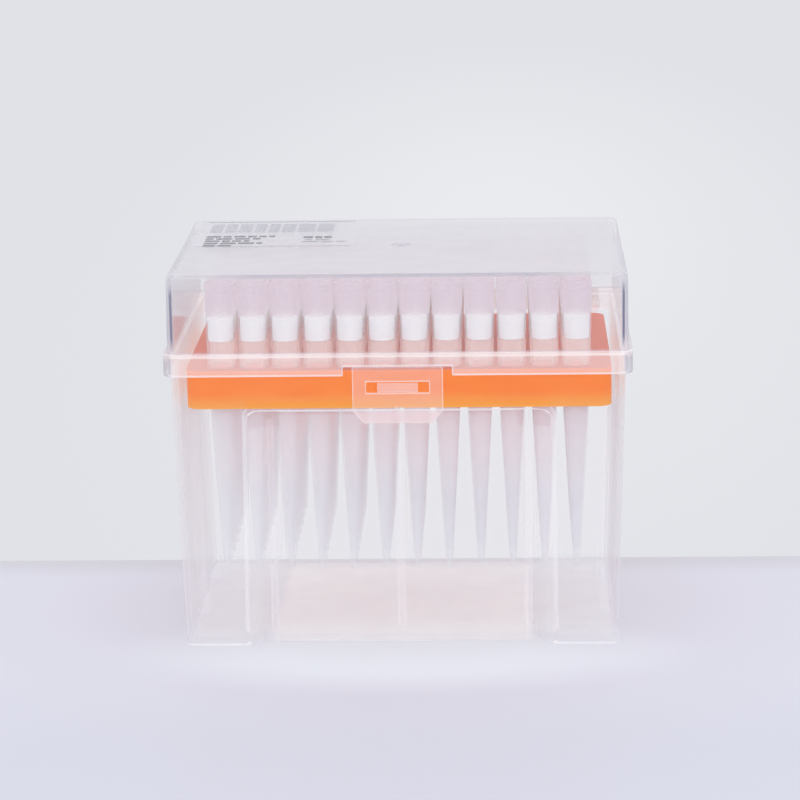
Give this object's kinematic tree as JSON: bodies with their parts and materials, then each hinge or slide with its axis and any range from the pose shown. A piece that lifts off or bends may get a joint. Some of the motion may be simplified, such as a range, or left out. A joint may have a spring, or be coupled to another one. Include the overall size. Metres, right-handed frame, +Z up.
{
  "type": "pipette tip box",
  "caption": "Hinged plastic box of pipette filter tips: frosted tub with an arched recess front and back, clear lid with a latch flap, and a lift-out rack that carries the grid of tips.",
  "frame": {"origin": "middle of the tub's flat underside, under the middle of the tip grid", "axes": "+X along the box, +Y from the latch side to the hinge side, +Z up"},
  "size_m": [0.1296, 0.0934, 0.1073],
  "materials": {
    "tub": "natural polypropylene, frosted outside",
    "lid_clear": "clear polypropylene, glossy",
    "label_film": "clear printed film",
    "rack_orange": "orange polypropylene, satin",
    "tip": "natural polypropylene",
    "filter_white": "porous sintered polyethylene"
  },
  "bodies": {
    "base": {"base": "tub", "rack": "rack_orange", "tips_01": "tip", "tips_02": "tip", "tips_03": "tip", "tips_04": "tip", "tips_05": "tip", "tips_06": "tip", "tips_07": "tip", "tips_08": "tip", "tips_09": "tip", "tips_10": "tip", "tips_11": "tip", "tips_12": "tip", "filters_01": "filter_white", "filters_02": "filter_white", "filters_03": "filter_white", "filters_04": "filter_white", "filters_05": "filter_white", "filters_06": "filter_white", "filters_07": "filter_white", "filters_08": "filter_white", "filters_09": "filter_white", "filters_10": "filter_white", "filters_11": "filter_white", "filters_12": "filter_white"},
    "lid": {"lid": "lid_clear", "label": "label_film"},
    "latch": {"latch": "lid_clear"}
  },
  "joints": [
    {"name": "lid_hinge", "type": "hinge", "parent": "base", "child": "lid", "pos_m": [0, 0.04565, 0.0799], "axis": [-1, 0, 0], "range_deg": [0, 110]},
    {"name": "latch_hinge", "type": "hinge", "parent": "lid", "child": "latch", "pos_m": [0, -0.04375, 0.08075], "axis": [-1, 0, 0], "range_deg": [0, 85], "stiffness_Nm_per_rad": 0.002}
  ]
}
